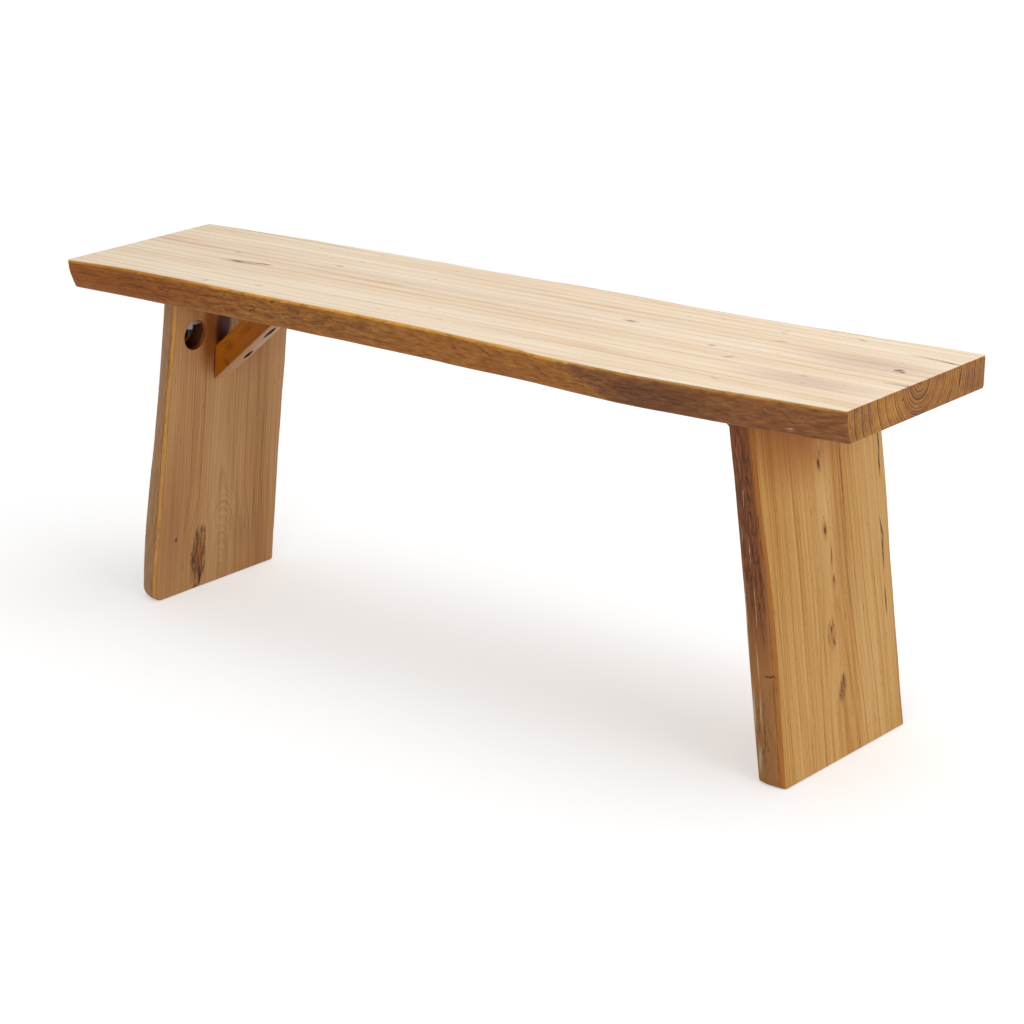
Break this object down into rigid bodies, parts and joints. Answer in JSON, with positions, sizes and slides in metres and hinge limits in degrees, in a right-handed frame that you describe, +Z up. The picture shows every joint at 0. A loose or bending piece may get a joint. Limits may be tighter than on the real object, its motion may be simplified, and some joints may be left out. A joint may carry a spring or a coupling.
{
  "type": "live edge bench",
  "caption": "Backless bench: a live edge plank seat on splayed live edge board legs, bolted from round pockets and stiffened by slanting wooden braces.",
  "frame": {"origin": "on the floor at the middle of the bench's length and width", "axes": "+X along the bench from the left leg to the right leg, -Y to the front, +Z up"},
  "size_m": [1.209, 0.305, 0.4597],
  "materials": {
    "seat_wood": "clear satin oil on pale hardwood",
    "leg_wood": "clear satin oil on hardwood",
    "brace_wood": "clear satin oil on hardwood",
    "bolt_steel": "zinc plated, dulled",
    "washer_steel": "zinc plated",
    "screw_steel": "zinc plated",
    "insert_brass": "plain"
  },
  "bodies": {
    "root": {"seat_slab": "seat_wood", "left_leg": "leg_wood", "right_leg": "leg_wood", "left_brace": "brace_wood", "right_brace": "brace_wood", "left_brace_leg_screw": "screw_steel", "left_brace_seat_screw": "screw_steel", "right_brace_leg_screw": "screw_steel", "right_brace_seat_screw": "screw_steel", "left_front_stud": "bolt_steel", "left_front_nut": "bolt_steel", "left_front_half_moon_washer": "washer_steel", "left_front_seat_insert": "insert_brass", "left_rear_stud": "bolt_steel", "left_rear_nut": "bolt_steel", "left_rear_half_moon_washer": "washer_steel", "left_rear_seat_insert": "insert_brass", "right_front_stud": "bolt_steel", "right_front_nut": "bolt_steel", "right_front_half_moon_washer": "washer_steel", "right_front_seat_insert": "insert_brass", "right_rear_stud": "bolt_steel", "right_rear_nut": "bolt_steel", "right_rear_half_moon_washer": "washer_steel", "right_rear_seat_insert": "insert_brass"}
  },
  "joints": []
}
